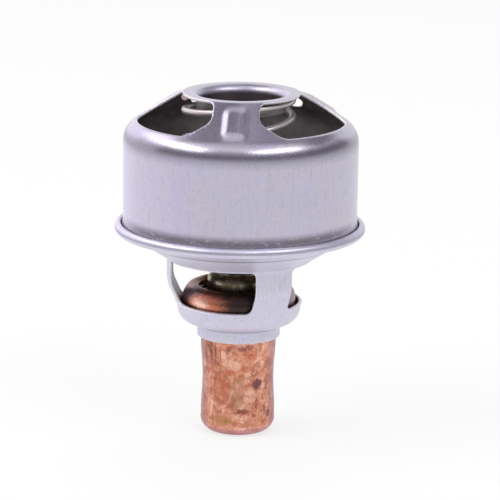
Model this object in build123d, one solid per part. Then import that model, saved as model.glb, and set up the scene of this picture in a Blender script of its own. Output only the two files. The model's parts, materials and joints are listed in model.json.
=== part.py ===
from build123d import *
from math import atan, cos, radians, sin, tan
import os

# Insert thermostat for an engine's coolant hose, in millimetres.
# Heights are measured up the axis from the underside of the rolled rim. At the end every
# piece is lifted, so that the flat tip of the wax element stands at height zero.
# Azimuth 0 is the front (-Y) and grows towards +X.

# Sheet thicknesses
cage_sheet = 0.5
frame_sheet = 0.6
valve_sheet = 0.5
copper_wall = 0.75
least_bend = 0.05          # inside a bend that is tighter than its sheet

# Clearances
sheet_play = 0.05          # cage foot inside the rolled rim
stack_gap = 0.02           # between pieces clamped inside the wax element
seat_gap = 0.02            # valve above its conical seat when closed
spring_gap = 0.02          # wire above the valve and under the ring
bore_clearance = 0.03      # piston in its guide and in the valve hub
boot_clearance = 0.06      # piston in its rubber boot

# Rolled rim, which clamps the foot of the cage
rim_radius = 21.5
rim_bend = 0.8
rim_lap = 1.0              # how far the roll reaches back over the foot
rim_to_tip = 37.0          # from the top of the rim down to the tip of the element

# Outlet cage: a drawn cup with a conical roof and a collar round its outlet
rim_step = 1.4             # how far the rim stands out from the cage's wall
foot_bend = 0.25
foot_flare = 0.22          # how far the wall leans out at its foot
flare_rise = 1.3           # height of the lean above the foot
flare_bend = 6.0
shoulder_bend = 3.8
roof_angle = 31.5          # fall of the conical roof below the horizontal
cage_height = 24.25
ring_radius = 10.05
ring_bend = 0.7
collar_bore = 7.15
collar_lip = 1.4           # radius of the lip rolled down into the collar
collar_depth = 3.0

# Roof windows and the three ribbed arms between them
roof_arm_azimuth = -4.0
roof_arm_width = 7.9
roof_window_inset = 2.25   # from the wall in to the windows' outer edge
roof_window_corner = 3.0
ring_corner = 1.2
rib_width = 4.8
rib_top_width = 2.1
rib_height = 0.5
rib_start = 10.5           # radius of the rib's upper end
rib_reach = 0.3            # its lower end, past the windows' outer edge
rib_run_out = 1.0          # length of the slope at each end
rib_corner = 0.9
rib_root = 0.13            # how far the round roof falls away under the rib's sides

# Lower frame: rim, dished flange, conical valve seat, three arms, cup and collar
rim_flat = 0.33            # flat underside inside the roll
dish_radius = 17.0
dish_depth = 1.45
dish_bend = 0.7
frame_wall_radius = 12.5
funnel_depth = 4.35
funnel_bend = 0.9
skirt_depth = 4.5          # upper edge of the frame's windows
knee_bend = 5.0
cup_rim_radius = 10.75
cup_rim_bend = 0.7
cup_foot_radius = 10.2
cup_foot_bend = 2.5
cup_depth = 15.75
cup_height = 3.15          # from its floor up to its rim
knee_rise = 4.0            # from the cup's rim up to the knee of the arms
collar_top_bend = 0.35
collar_length = 2.5
collar_thinning = 0.2      # the drawn collar thins towards its end
collar_taper = 1.25        # length over which it thins
frame_arm_azimuth = 30.0
frame_arm_width = 7.0
frame_window_lip = 0.4     # lower edge of the frame's windows, above the cup's rim
frame_window_corner = 1.0

# Wax element: copper cup, crimped over the flange of the brass guide
copper_ring_radius = 9.75
copper_ring_height = 6.1   # from the shoulder up to the crest of the crimp
copper_ring_bend = 1.7
copper_shoulder_bend = 2.4
copper_lip_radius = 6.8
copper_lip_drop = 0.7
copper_crest_radius = 7.4
copper_crest_bend = 1.1
bulb_radius = 6.53
waist_radius = 6.1
foot_radius = 6.44
waist_share = 0.52         # where the waist lies between neck and foot
neck_length = 4.7
foot_height = 4.1          # widest place above the tip
tip_bend = 2.4
waist_bend = 35.0          # large radius that blends the waist into the neck and foot
neck_bend = 0.8            # between the shoulder and the bulb

guide_radius = 5.5
guide_rise = 1.95          # guide above the crest of the crimp
guide_bend = 1.4
guide_step = 0.85          # shelf round the guide below the crimped lip
guide_edge = 0.5
washer_radius = 3.8
washer_thickness = 0.5
boot_flange = 1.1          # thickness of the flange sealed under the guide
boot_radius = 4.3
boot_tip_radius = 3.4
boot_tip_round = 1.7
boot_end_wall = 1.6
piston_radius = 2.0
piston_tip_radius = 0.9
piston_tip_length = 2.5
piston_depth = 21.0        # piston tip below the top of the guide

# Valve
valve_radius = 16.2
valve_land_radius = 13.6
valve_bend = 0.7
boss_radius = 7.8          # centres the foot of the spring
boss_rise = 1.6
boss_slope = 0.35
boss_bend = 1.0
hub_neck_radius = 2.9
hub_flange_radius = 4.2
hub_flange_thickness = 0.8
hub_skirt_radius = 3.2
hub_skirt_length = 2.6
hub_head_radius = 3.7
hub_head_height = 0.7
hub_bore_depth = 3.7
hub_head_round = 0.55
hub_edge = 0.3

# Return spring
wire_diameter = 1.2
spring_radius = 9.3        # to the middle of the wire
spring_start_azimuth = -95.0
spring_step = 22.5         # degrees between the points of the wire's path
top_turns = 1.0
top_pitch = 1.5
easing_turns = 0.5
easing_pitch = 2.8
main_turns = 2.5
bottom_turns = 1.1
bottom_pitch = 1.25        # just over the wire, so that the end turn lies closed

# Sizes that follow from those above
wall_radius = rim_radius - rim_step
roof_window_edge = wall_radius - roof_window_inset
rib_end = roof_window_edge + rib_reach
cup_rim_depth = cup_depth - cup_height
knee_depth = cup_rim_depth - knee_rise
frame_window_depth = cup_rim_depth - frame_window_lip
rim_height = 2 * frame_sheet + cage_sheet + sheet_play
roll_radius = rim_height / 2
tip_level = rim_height - rim_to_tip
roof_corner_level = cage_height - (wall_radius - ring_radius) * tan(radians(roof_angle))
seat_angle = atan((funnel_depth - dish_depth) / (dish_radius - frame_wall_radius))
frame_floor_level = frame_sheet - cup_depth
shoulder_level = frame_floor_level + stack_gap
crest_level = shoulder_level + copper_ring_height
guide_top_level = crest_level + guide_rise
collar_radius = bulb_radius + frame_sheet + stack_gap


def seat_level(radius):
    """Height of the seat's upper surface at a radius."""
    outer = -dish_depth - (dish_radius - radius) * tan(seat_angle)
    return outer + frame_sheet / cos(seat_angle)


def spring_point(turn):
    """Middle of the wire, a number of turns down from its cut end under the ring."""
    level = spring_head_level
    left = turn
    for turns, pitch in spring_stretches:
        level -= min(left, turns) * pitch
        left = max(left - turns, 0)
    azimuth = radians(spring_start_azimuth - 360 * turn)
    return (spring_radius * sin(azimuth), -spring_radius * cos(azimuth), level)


land_level = seat_level(valve_land_radius) + seat_gap / cos(seat_angle)
spring_foot_level = land_level + valve_sheet + wire_diameter / 2 + spring_gap
spring_head_level = cage_height - cage_sheet - wire_diameter / 2 - spring_gap
boss_level = land_level + boss_rise
hub_foot_level = boss_level - hub_flange_thickness - hub_skirt_length
piston_top_level = hub_foot_level + hub_bore_depth
piston_tip_level = guide_top_level - piston_depth
boot_seat_level = shoulder_level + copper_wall + stack_gap
guide_base_level = boot_seat_level + boot_flange + stack_gap
chamber_radius = copper_ring_radius - copper_wall - stack_gap
boot_flange_round = boot_flange - 2 * stack_gap
boot_flange_radius = copper_ring_radius - copper_shoulder_bend + boot_flange_round - stack_gap
spring_fall = spring_head_level - spring_foot_level
end_fall = top_turns * top_pitch + easing_turns * easing_pitch + bottom_turns * bottom_pitch
spring_stretches = [
    (top_turns, top_pitch),
    (easing_turns, easing_pitch),
    (main_turns, (spring_fall - end_fall) / main_turns),
    (bottom_turns, bottom_pitch),
]
spring_turns = sum(turns for turns, pitch in spring_stretches)


def section(*outline, corners=()):
    """Closed half section through (radius, height) points; corners pairs a point with its bend."""
    with BuildSketch(Plane.XZ) as face:
        with BuildLine():
            Polyline(*outline, close=True)
        make_face()
        for point, bend in corners:
            fillet(face.vertices().sort_by_distance(Vector(*point))[0], bend)
    return face.sketch


def sheet_section(outline, bends, thickness, side):
    """Half section of a sheet whose visible skin runs through the points of an outline.

    The sheet lies left of its outline where side is 1 and right of it where side is -1.
    """
    skin = [Vector(*point) for point in outline]
    legs = [(end - start).normalized() for start, end in zip(skin, skin[1:])]
    normals = [Vector(-leg.Y, leg.X) * side for leg in legs]
    back = [skin[0] + normals[0] * thickness]
    back_bends = []
    for corner, bend, before, after in zip(skin[1:], bends, normals, normals[1:]):
        back.append(corner + (before + after) * (thickness / (1 + before.dot(after))))
        turns_to_back = side * before.cross(after).Z > 0
        back_bends.append(max(bend - thickness, least_bend) if turns_to_back else bend + thickness)
    back.append(skin[-1] + normals[-1] * thickness)
    with BuildSketch(Plane.XZ) as face:
        with BuildLine():
            front_line = FilletPolyline(*skin, radius=bends)
            back_line = FilletPolyline(*back, radius=back_bends)
            Line(front_line @ 0, back_line @ 0)
            Line(front_line @ 1, back_line @ 1)
        make_face()
    return face.sketch


def turned(face):
    """Turn a half section about the axis."""
    return revolve(face, axis=Axis.Z)


def around(piece, azimuth):
    """Turn a piece made at the front to an azimuth."""
    return Rot(0, 0, azimuth) * piece


def roof_windows():
    """Plan of the three roof windows, between the ring and the shoulder."""
    with BuildSketch() as plan:
        Circle(roof_window_edge)
        Circle(ring_radius, mode=Mode.SUBTRACT)
        for turn in range(3):
            with Locations(Rot(0, 0, roof_arm_azimuth + 120 * turn)):
                with Locations((0, -rim_radius / 2)):
                    Rectangle(roof_arm_width, rim_radius, mode=Mode.SUBTRACT)
        middle = (ring_radius + roof_window_edge) / 2
        inner = [v for v in plan.vertices() if Vector(*v).length < middle]
        outer = [v for v in plan.vertices() if Vector(*v).length > middle]
        fillet(outer, roof_window_corner)
        fillet(inner, ring_corner)
    return extrude(plan.sketch, 2 * cage_height)


def rib_pad(lift):
    """Flat-topped pad along the slope of the front arm, its top rib_height + lift above it."""
    slope = radians(roof_angle)
    middle = (rib_start + rib_end) / 2
    level = cage_height - (middle - ring_radius) * tan(slope)
    along = Plane(origin=(0, -middle, level), x_dir=(1, 0, 0), z_dir=(0, -sin(slope), cos(slope)))
    length = (rib_end - rib_start) / cos(slope)
    flare = (rib_width - rib_top_width) / (rib_height + rib_root)
    depth = cage_sheet / 2
    run_out = 2 * rib_run_out / rib_height
    with BuildPart() as pad:
        with BuildSketch(along.offset(lift - depth)):
            RectangleRounded(rib_top_width + flare * (rib_height + depth),
                             length + run_out * depth, rib_corner)
        with BuildSketch(along.offset(lift + rib_height)):
            RectangleRounded(rib_top_width, length - run_out * rib_height, rib_corner)
        loft()
    return pad.part


def outlet_cage():
    """Drawn cup: foot, wall, shoulder, conical roof, ring and collar, with ribs and windows."""
    foot_radius_out = rim_radius - roll_radius
    foot_level = frame_sheet + cage_sheet
    outline = [
        (foot_radius_out, foot_level),
        (wall_radius + foot_flare, foot_level),
        (wall_radius, foot_level + flare_rise),
        (wall_radius, roof_corner_level),
        (ring_radius, cage_height),
        (collar_bore, cage_height),
        (collar_bore, cage_height - collar_depth),
    ]
    bends = [foot_bend, flare_bend, shoulder_bend, ring_bend, collar_lip]
    cage = turned(sheet_section(outline, bends, cage_sheet, 1))
    for turn in range(3):
        azimuth = roof_arm_azimuth + 120 * turn
        cage = cage + around(rib_pad(0), azimuth) - around(rib_pad(-cage_sheet), azimuth)
    return cage - roof_windows()


def frame_windows():
    """Three windows round the frame, between its arms."""
    deep, high = -frame_window_depth, -skirt_depth
    band = turned(section((bulb_radius, deep), (rim_radius, deep),
                          (rim_radius, high), (bulb_radius, high)))
    for turn in range(3):
        arm = Box(frame_arm_width, rim_radius, 2 * cup_depth)
        band -= around(Pos(0, -rim_radius / 2, 0) * arm, frame_arm_azimuth + 120 * turn)
    flat = [edge for edge in band.edges().filter_by(GeomType.LINE)
            if abs(edge.tangent_at(0).Z) < 0.5]
    return fillet(flat, frame_window_corner)


def lower_frame():
    """Stamping with the rolled rim, the conical seat, three arms and the element's cup."""
    outline = [
        (rim_radius - rim_lap, rim_height),
        (rim_radius, rim_height),
        (rim_radius, 0),
        (rim_radius - roll_radius - rim_flat, 0),
        (dish_radius, -dish_depth),
        (frame_wall_radius, -funnel_depth),
        (frame_wall_radius, -knee_depth),
        (cup_rim_radius, -cup_rim_depth),
        (cup_foot_radius, -cup_depth),
        (collar_radius, -cup_depth),
        (collar_radius, -cup_depth - collar_length),
    ]
    bends = [
        rim_bend, rim_bend, dish_bend, dish_bend, funnel_bend, knee_bend,
        cup_rim_bend, cup_foot_bend, collar_top_bend,
    ]
    collar_end = -cup_depth - collar_length
    thinning = section(
        (collar_radius, collar_end + collar_taper),
        (collar_radius + collar_thinning, collar_end),
        (collar_radius - collar_thinning, collar_end),
    )
    return turned(sheet_section(outline, bends, frame_sheet, -1) - thinning) - frame_windows()


def bulb_side(inset):
    """Side of the bulb from its neck to the middle of its tip, drawn in by an inset."""
    neck_level = shoulder_level - neck_length
    foot_level = tip_level + foot_height
    return [
        (bulb_radius - inset, neck_level),
        (waist_radius - inset, neck_level - waist_share * (neck_level - foot_level)),
        (foot_radius - inset, foot_level),
        (foot_radius - inset, tip_level + inset),
        (0, tip_level + inset),
    ]


def wax_cup():
    """Copper cup: a long bulb, a wide shoulder and a mouth crimped over the guide's flange."""
    outline = [
        (copper_lip_radius, crest_level - copper_lip_drop),
        (copper_crest_radius, crest_level),
        (copper_ring_radius, crest_level),
        (copper_ring_radius, shoulder_level),
        (bulb_radius, shoulder_level),
    ]
    bends = [copper_crest_bend, copper_ring_bend, copper_shoulder_bend, neck_bend]
    side_bends = [waist_bend, waist_bend, waist_bend, tip_bend]
    return turned(sheet_section(outline + bulb_side(0), bends + side_bends,
                                copper_wall, -1))


def piston_guide():
    """Turned brass guide, clamped by its flange, its top rounded where the piston leaves."""
    bore = piston_radius + bore_clearance
    lip_slope = copper_lip_drop / (copper_crest_radius - copper_lip_radius)
    cone_top = copper_crest_radius + (copper_wall + stack_gap) * tan(atan(lip_slope) / 2)
    flange_top = crest_level - copper_wall - stack_gap
    shelf = flange_top - guide_step
    recess = washer_radius + stack_gap
    recess_top = guide_base_level + washer_thickness + stack_gap
    outline = [
        (bore, guide_top_level),
        (guide_radius, guide_top_level),
        (guide_radius, shelf),
        (cone_top - guide_step / lip_slope, shelf),
        (cone_top, flange_top),
        (chamber_radius, flange_top),
        (chamber_radius, guide_base_level),
        (recess, guide_base_level),
        (recess, recess_top),
        (bore, recess_top),
    ]
    corners = [
        (outline[1], guide_bend),
        (outline[5], copper_ring_bend - copper_wall - stack_gap),
        (outline[6], guide_edge),
    ]
    return turned(section(*outline, corners=corners))


def backup_washer():
    """Washer that keeps the rubber out of the guide's bore."""
    bore = piston_radius + bore_clearance
    top = guide_base_level + washer_thickness
    return turned(section((bore, guide_base_level), (washer_radius, guide_base_level),
                          (washer_radius, top), (bore, top)))


def boot_profile(growth):
    """Outer points of the rubber boot below its flange."""
    end = piston_tip_level - boot_clearance - boot_end_wall - growth
    return [
        (boot_radius + growth, boot_seat_level - stack_gap / 2),
        (boot_tip_radius + growth, end),
        (0, end),
    ]


def rubber_boot():
    """Rubber boot round the piston: the wax squeezes it and drives the piston out."""
    bore = piston_radius + boot_clearance
    tip = piston_tip_level - boot_clearance
    taper = tip + piston_tip_length
    top = boot_seat_level + boot_flange
    profile = boot_profile(0)
    outline = [
        (bore, top),
        (boot_flange_radius, top),
        (boot_flange_radius, boot_seat_level),
        (boot_radius, boot_seat_level),
        profile[1],
        profile[2],
        (0, tip),
        (piston_tip_radius + boot_clearance, tip),
        (bore, taper),
    ]
    corners = [(outline[2], boot_flange_round), (profile[1], boot_tip_round)]
    return turned(section(*outline, corners=corners))


def wax_charge():
    """Wax and copper powder that fills the bulb round the boot."""
    inset = copper_wall + stack_gap
    top = shoulder_level + copper_wall
    side = bulb_side(inset)
    profile = boot_profile(stack_gap)
    hollow = section((0, top), (boot_radius + stack_gap, top), profile[1], profile[2],
                     corners=[(profile[1], boot_tip_round)])
    bends = [waist_bend, waist_bend, waist_bend, tip_bend - inset]
    filling = section((0, top), (side[0][0], top), *side, corners=zip(side, bends))
    return turned(filling - hollow)


def piston():
    """Ground steel pin, tapered where the boot grips its tip."""
    outline = [
        (0, piston_top_level),
        (piston_radius, piston_top_level),
        (piston_radius, piston_tip_level + piston_tip_length),
        (piston_tip_radius, piston_tip_level),
        (0, piston_tip_level),
    ]
    return turned(section(*outline, corners=[(outline[1], hub_edge)]))


def valve_disc():
    """Stamped valve: a coned edge for the seat, a land for the spring and a raised boss."""
    outline = [
        (valve_radius, seat_level(valve_radius) + seat_gap / cos(seat_angle)),
        (valve_land_radius, land_level),
        (boss_radius, land_level),
        (boss_radius - boss_slope, boss_level),
        (hub_neck_radius + stack_gap, boss_level),
    ]
    bends = [boss_bend, boss_bend, valve_bend]
    return turned(sheet_section(outline, bends, valve_sheet, -1))


def valve_hub():
    """Turned hub, riveted through the boss, with the blind bore that takes the piston."""
    bore = piston_radius + bore_clearance
    under_flange = boss_level - hub_flange_thickness
    boss_top = boss_level + valve_sheet
    head_top = boss_top + hub_head_height
    outline = [
        (bore, hub_foot_level),
        (hub_skirt_radius, hub_foot_level),
        (hub_skirt_radius, under_flange),
        (hub_flange_radius, under_flange),
        (hub_flange_radius, boss_level),
        (hub_neck_radius, boss_level),
        (hub_neck_radius, boss_top),
        (hub_head_radius, boss_top),
        (hub_head_radius, head_top),
        (0, head_top),
        (0, piston_top_level),
        (bore, piston_top_level),
    ]
    corners = [
        (outline[1], hub_edge),
        (outline[3], hub_edge),
        (outline[8], hub_head_round),
    ]
    return turned(section(*outline, corners=corners))


def return_spring():
    """Round wire, closed at both ends, between the ring and the land of the valve."""
    count = round(360 * spring_turns / spring_step)
    points = [spring_point(spring_turns * index / count) for index in range(count + 1)]
    path = Spline(*points)
    cut_end = Plane(origin=path @ 0, z_dir=path % 0) * Circle(wire_diameter / 2)
    return sweep(cut_end, path=path, is_frenet=True)


parts = {
    "outlet_cage": outlet_cage(),
    "lower_frame": lower_frame(),
    "wax_cup": wax_cup(),
    "piston_guide": piston_guide(),
    "backup_washer": backup_washer(),
    "rubber_boot": rubber_boot(),
    "wax_charge": wax_charge(),
    "piston": piston(),
    "valve_disc": valve_disc(),
    "valve_hub": valve_hub(),
    "return_spring": return_spring(),
}

os.makedirs("parts", exist_ok=True)
for node, solid in parts.items():
    export_step(Pos(0, 0, -tip_level) * solid, f"parts/{node}.step")
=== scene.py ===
# %% [markdown]
# # An engine thermostat in Blender
# The CAD model of the thermostat is already packed: each piece is a mesh in metres, standing on
# the tip of its copper bulb. This lesson dresses it. The sheet-metal pieces are built again with
# rounded sheared edges, the spring is swept as one wire, and every piece gets a finish that
# follows the photograph. We start by loading the packed model, because every size below is set
# against it.

# %% Load the packed model
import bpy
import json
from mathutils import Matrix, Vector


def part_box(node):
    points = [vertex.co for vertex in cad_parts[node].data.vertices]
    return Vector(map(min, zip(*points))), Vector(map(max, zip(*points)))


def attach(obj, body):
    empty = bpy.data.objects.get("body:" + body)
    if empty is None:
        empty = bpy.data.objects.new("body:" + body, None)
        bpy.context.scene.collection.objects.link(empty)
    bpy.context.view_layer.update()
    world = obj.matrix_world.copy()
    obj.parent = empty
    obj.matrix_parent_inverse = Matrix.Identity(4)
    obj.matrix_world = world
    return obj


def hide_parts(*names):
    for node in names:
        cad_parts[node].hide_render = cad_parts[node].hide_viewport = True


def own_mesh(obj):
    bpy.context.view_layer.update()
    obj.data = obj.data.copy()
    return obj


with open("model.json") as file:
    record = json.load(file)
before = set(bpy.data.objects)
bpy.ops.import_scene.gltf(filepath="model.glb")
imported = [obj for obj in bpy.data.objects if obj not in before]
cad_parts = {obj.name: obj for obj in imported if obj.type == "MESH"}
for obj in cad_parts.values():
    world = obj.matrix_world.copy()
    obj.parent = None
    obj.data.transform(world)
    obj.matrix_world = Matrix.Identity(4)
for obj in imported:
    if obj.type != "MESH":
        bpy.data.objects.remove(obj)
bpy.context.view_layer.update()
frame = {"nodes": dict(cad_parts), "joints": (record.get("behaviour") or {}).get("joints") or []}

import json
import math

import bmesh
import bpy
import numpy as np
from mathutils import Matrix, Vector

MM = 0.001
print("nodes:", ", ".join(sorted(frame["nodes"])))

# %% [markdown]
# The drawing of this part counts its heights from the underside of the rolled rim, and so do we.
# One number, read from the packed model, lifts those heights to where the model stands. Azimuths
# are in degrees: 0 is the front and they grow towards +X.

# %% Heights and directions
cage_height = 24.25
rim_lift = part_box("outlet_cage")[1].z / MM - cage_height


def towards(azimuth, elevation=0.0):
    """Unit vector of a direction given in degrees."""
    a, e = math.radians(azimuth), math.radians(elevation)
    return Vector((math.sin(a) * math.cos(e), -math.cos(a) * math.cos(e), math.sin(e)))


print(f"the rim's underside stands {rim_lift:.3f} mm above the floor")

# %% [markdown]
# ## The camera
# The photograph was taken with a long lens, a little above the object. A long lens keeps the
# ellipses of the rim and the ring nearly alike, so the lens matters as much as the height. The
# camera could be aimed with a constraint, but then its roll is hard to set. Here its three axes
# are written out, and it is placed so that the middle of the rim's underside falls where the
# photograph has it.

# %% Camera
camera_distance = 500.0
pixels_per_mm = 5.82
look_down = math.radians(13.5)
roll = math.radians(0.8)
photo_width = 500
rim_pixel = (239.8, 231.0)

forward = Vector((0, math.cos(look_down), -math.sin(look_down)))
level = Vector((1, 0, 0))
right = level * math.cos(roll) + level.cross(forward) * math.sin(roll)
up = right.cross(forward)
focal_pixels = pixels_per_mm * camera_distance
across = (rim_pixel[0] - photo_width / 2) / focal_pixels
above = (photo_width / 2 - rim_pixel[1]) / focal_pixels
eye = Vector((0, 0, rim_lift)) - (forward + right * across + up * above) * camera_distance

camera_data = bpy.data.cameras.new("camera")
camera_data.sensor_width = 36
camera_data.lens = camera_data.sensor_width * focal_pixels / photo_width
camera_data.clip_start = 0.01
camera = bpy.data.objects.new("camera", camera_data)
turn = Matrix((right, up, -forward)).transposed()
camera.matrix_world = Matrix.Translation(eye * MM) @ turn.to_4x4()
bpy.context.scene.collection.objects.link(camera)
bpy.context.scene.camera = camera
print(f"lens {camera_data.lens:.1f} mm, {camera_distance:.0f} mm away")

# %% [markdown]
# ## A round bend in a line
# Sheet metal never turns a sharp corner. A bevel modifier could round the corners afterwards, but
# one width would have to do for all. So a stamping is written as a table of corners with a bend
# radius at each, and this helper walks along it: even steps on the flats, and finer steps round
# each bend, where the light changes fastest.

# %% Walk along a line with round bends
flat_step = 0.45
bend_step = math.radians(9)


def along(start, end):
    """Points from start up to, but without, end."""
    count = max(1, math.ceil(np.linalg.norm(end - start) / flat_step))
    return [start + (end - start) * i / count for i in range(count)]


def bent_line(outline):
    """Points (radius, height) along rows of radius, height and bend; the two ends have none."""
    corners = [np.array(row[:2], float) for row in outline]
    bends = [row[2] for row in outline[1:-1]]
    points, last = [], corners[0]
    for before, corner, after, bend in zip(corners, corners[1:], corners[2:], bends):
        incoming = (corner - before) / np.linalg.norm(corner - before)
        outgoing = (after - corner) / np.linalg.norm(after - corner)
        angle = math.atan2(incoming[0] * outgoing[1] - incoming[1] * outgoing[0],
                           incoming @ outgoing)
        start = corner - incoming * bend * math.tan(abs(angle) / 2)
        points += along(last, start)
        side = math.copysign(1, angle)
        centre = start + side * bend * np.array((-incoming[1], incoming[0]))
        steps = max(2, math.ceil(abs(angle) / bend_step))
        for i in range(steps):
            c, s = math.cos(angle * i / steps), math.sin(angle * i / steps)
            arm = start - centre
            points.append(centre + np.array((c * arm[0] - s * arm[1], s * arm[0] + c * arm[1])))
        last = corner + outgoing * bend * math.tan(abs(angle) / 2)
    return np.array(points + along(last, corners[-1]) + [corners[-1]])


print(len(bent_line([(0, 0, 0), (5, 0, 1), (5, 5, 0)])), "points round a sample corner")

# %% [markdown]
# ## A sheet turned round the axis
# A screw modifier would turn the line into a surface, but a window cut into it with a Boolean
# leaves long thin faces that catch the light badly. So the sheet is kept as a rule with two
# numbers, an azimuth and a station, which is the way along the line. The rule gives the place of
# a point and its distance from the nearest edge, and it can slide a point until that distance is
# right, so that the points round a window lie on its exact outline.

# %% The rule of a turned sheet
slide_steps = 8
slide_reach = 0.01
least_slope = 0.2


class Turned:
    """A line turned round the axis; side is 1 when the sheet lies left of the line, -1 right."""

    def __init__(self, points, side, window=None, relief=None):
        self.points, self.window, self.relief = points, window, relief
        legs = np.diff(points, axis=0)
        self.station = np.concatenate([[0], np.cumsum(np.linalg.norm(legs, axis=1))])
        tangent = np.gradient(points, self.station, axis=0)
        tangent /= np.linalg.norm(tangent, axis=1)[:, None]
        self.normal = side * np.stack([-tangent[:, 1], tangent[:, 0]], 1)

    def at(self, values, s):
        """The radial and the upright value at a station."""
        return (np.interp(s, self.station, values[:, k]) for k in (0, 1))

    def place(self, azimuth, s, depth):
        """Point of the sheet, a depth below its outer skin."""
        (r, z), (nr, nz) = self.at(self.points, s), self.at(self.normal, s)
        if self.relief:
            depth = depth - self.relief(r * np.sin(azimuth), -r * np.cos(azimuth), z)
        r, z = r + depth * nr, z + depth * nz
        return np.stack([r * np.sin(azimuth), -r * np.cos(azimuth), z], -1)

    def inside(self, azimuth, s):
        """Distance from the nearest edge of the sheet, below zero in a window."""
        near = np.minimum(s, self.station[-1] - s)
        if self.window:
            r, z = self.at(self.points, s)
            near = np.minimum(near, self.window(r * np.sin(azimuth), -r * np.cos(azimuth), z))
        return near

    def slide(self, az, s, distance):
        """Points moved, a few steps downhill, until they lie at a distance from the edge."""
        for _ in range(slide_steps):
            r = np.maximum(np.interp(s, self.station, self.points[:, 0]), 1)
            turn, reach = slide_reach / r, slide_reach
            ga = (self.inside(az + turn, s) - self.inside(az - turn, s)) / (2 * reach)
            gs = (self.inside(az, s + reach) - self.inside(az, s - reach)) / (2 * reach)
            pull = (distance - self.inside(az, s)) / np.maximum(ga ** 2 + gs ** 2, least_slope)
            az, s = az + pull * ga / r, s + pull * gs
        return az, s


sample = Turned(bent_line([(20, 0, 0), (20, 10, 0)]), 1)
print("4 mm up a sample wall, the nearest edge is", sample.inside(0.0, 4.0), "mm away")

# %% [markdown]
# ## Faces of the sheet
# The sheet is laid out as a grid of squares, and the squares inside a window are left out. Each
# square that stays gives a face of the outer skin and one of the inner skin. Where its neighbour
# is missing, three narrow faces close the edge: two small slopes and a flat between them, the way
# a sheared edge looks after tumbling. A solidify modifier would leave that edge knife-sharp.

# %% Faces and material slots
skin_slot, edge_slot, inner_slot = 0, 1, 2


def sheet_faces(kept, rim):
    """Faces and slots for the squares that are kept; rim marks the grid points at an edge."""
    columns, rows = kept.shape
    number = np.arange(rim.size).reshape(rim.shape)
    rim_number = np.full(rim.shape, -1)
    rim_number[rim] = np.arange(rim.sum())
    levels = [number, 2 * rim.size + rim_number, 2 * rim.size + rim.sum() + rim_number,
              number + rim.size]
    faces, slots = [], []
    for i, j in zip(*np.nonzero(kept)):
        n = (i + 1) % columns
        ring = [(i, j), (n, j), (n, j + 1), (i, j + 1)]
        faces += [[levels[0][p] for p in reversed(ring)], [levels[-1][p] for p in ring]]
        slots += [skin_slot, inner_slot]
        missing = [j == 0 or not kept[i, j - 1], not kept[n, j],
                   j == rows - 1 or not kept[i, j + 1], not kept[i - 1, j]]
        for p, q, is_open in zip(ring, ring[1:] + ring[:1], missing):
            if is_open:
                strips = [[outer[p], outer[q], inner[q], inner[p]]
                          for outer, inner in zip(levels, levels[1:])]
                faces += strips
                slots += [edge_slot] * len(strips)
    return faces, slots


sample_faces, _ = sheet_faces(np.ones((3, 1), bool), np.ones((3, 2), bool))
print(len(sample_faces), "faces on a sample ring of three squares")

# %% [markdown]
# Now the rule and the faces come together. Points that fall within a hundredth of a millimetre of
# each other are welded, so that the mesh is closed and its normals run smoothly.

# %% Build a sheet
edge_round = 0.09
weld = 0.012


def mesh_piece(name, places, faces, slots):
    """Object from points in rim millimetres, faces and each face's material slot."""
    mesh = bpy.data.meshes.new(name)
    mesh.from_pydata([(x * MM, y * MM, (z + rim_lift) * MM) for x, y, z in places], [],
                     [[int(p) for p in face] for face in faces])
    mesh.polygons.foreach_set("material_index", slots)
    work = bmesh.new()
    work.from_mesh(mesh)
    bmesh.ops.remove_doubles(work, verts=work.verts, dist=weld * MM)
    loose = [vert for vert in work.verts if not vert.link_faces]
    bmesh.ops.delete(work, geom=loose, context="VERTS")
    bmesh.ops.recalc_face_normals(work, faces=work.faces)
    work.to_mesh(mesh)
    work.free()
    mesh.shade_smooth()
    piece = bpy.data.objects.new(name, mesh)
    bpy.context.scene.collection.objects.link(piece)
    print(f"{name}: {len(mesh.vertices)} points, {len(mesh.polygons)} faces")
    return piece


def sheet(name, points, thickness, side, columns, window=None, relief=None):
    """A turned sheet as an object, with a number of columns round the axis."""
    rule = Turned(points, side, window, relief)
    step = 2 * np.pi / columns
    azimuths = np.arange(columns) * 2 * np.pi / columns
    a, s = np.meshgrid(azimuths, rule.station, indexing="ij")
    kept = rule.inside(a[:, :-1] + step / 2, (s[:, :-1] + s[:, 1:]) / 2) > 0
    around = np.zeros(a.shape, int)
    for shift in (0, 1):
        around[:, :-1] += np.roll(kept, shift, 0)
        around[:, 1:] += np.roll(kept, shift, 0)
    rim = (around > 0) & (around < 4)

    skin_a, skin_s = a.copy(), s.copy()
    skin_a[rim], skin_s[rim] = rule.slide(a[rim], s[rim], edge_round)
    places = [rule.place(skin_a, skin_s, depth).reshape(-1, 3) for depth in (0, thickness)]
    edge = rule.slide(a[rim], s[rim], 0)
    places += [rule.place(*edge, depth) for depth in (edge_round, thickness - edge_round)]
    faces, slots = sheet_faces(kept, rim)
    if side < 0:
        faces = [face[::-1] for face in faces]
    return mesh_piece(name, np.concatenate(places), faces, slots)


print(f"sheared edges are rounded by {edge_round} mm")

# %% [markdown]
# Two outlines meet in a round corner in every window. This helper joins two distances so that
# their corner is an arc, and the next one measures how far a point lies from three equal arms.

# %% Distances for the windows
def round_corner(first, second, radius):
    """The larger of two distances, with an arc where both are near zero."""
    arc = np.hypot(first + radius, second + radius) - radius
    return np.where((first > -radius) & (second > -radius), arc, np.maximum(first, second))


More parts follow.
